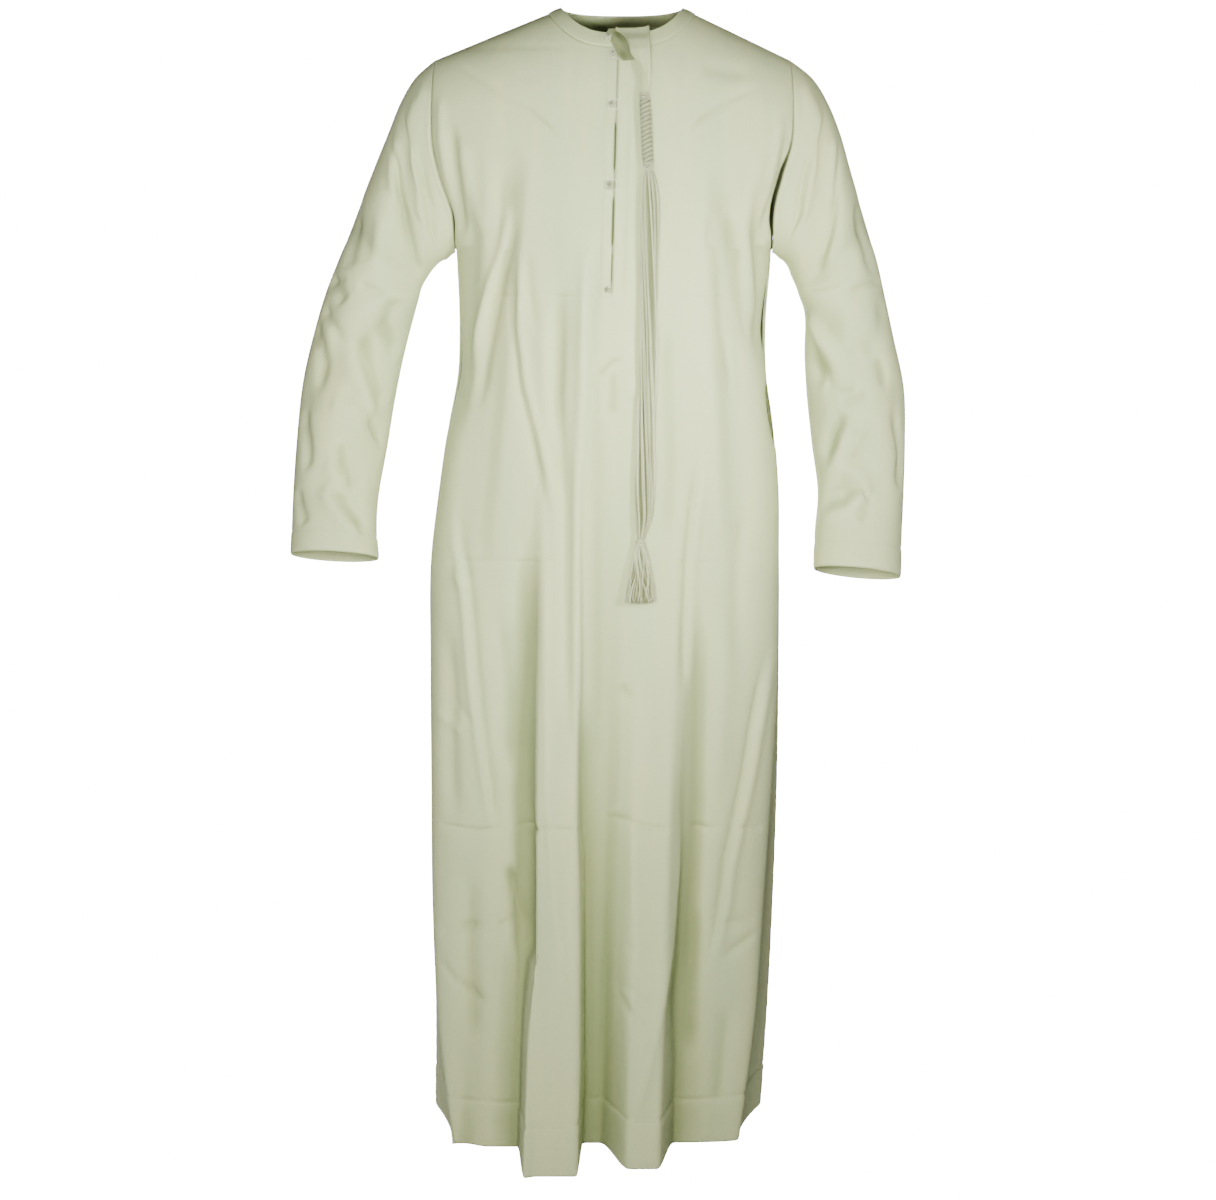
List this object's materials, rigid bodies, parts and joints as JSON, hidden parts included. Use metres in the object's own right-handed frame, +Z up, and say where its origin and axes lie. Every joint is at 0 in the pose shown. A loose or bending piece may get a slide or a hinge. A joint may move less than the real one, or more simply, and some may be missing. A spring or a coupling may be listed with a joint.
{
  "type": "thobe robe",
  "caption": "Ankle-length collarless robe in hollow worn form, with set-in sleeves, a slit neck and a hanging tassel, for a rail of clothes or a dressed figure.",
  "frame": {"origin": "where the wearer's shoulders hold the robe, level with the neck side points", "axes": "+Z up, the front faces -Y, +X is the wearer's left"},
  "size_m": [0.7569, 0.3987, 1.4022],
  "materials": {
    "panel_cloth": "smooth plain-woven cloth, pale sage cream",
    "inside_cloth": "same cloth seen in shade",
    "tassel_thread": "twisted matte thread, pale sage",
    "button_cloth": "self-fabric knot"
  },
  "bodies": {
    "root": {"front_panel": "panel_cloth", "back_panel": "panel_cloth", "sleeve_right": "panel_cloth", "sleeve_left": "panel_cloth", "neck_band": "panel_cloth", "tassel_tab": "panel_cloth", "placket_underlap": "inside_cloth", "pocket_facing": "inside_cloth", "tassel_shank": "tassel_thread", "tassel_skein": "tassel_thread", "tassel_end": "tassel_thread", "button_neck": "button_cloth", "button_1": "button_cloth", "button_2": "button_cloth", "button_3": "button_cloth", "button_4": "button_cloth", "loop_1": "tassel_thread", "loop_2": "tassel_thread", "loop_3": "tassel_thread"}
  },
  "joints": []
}
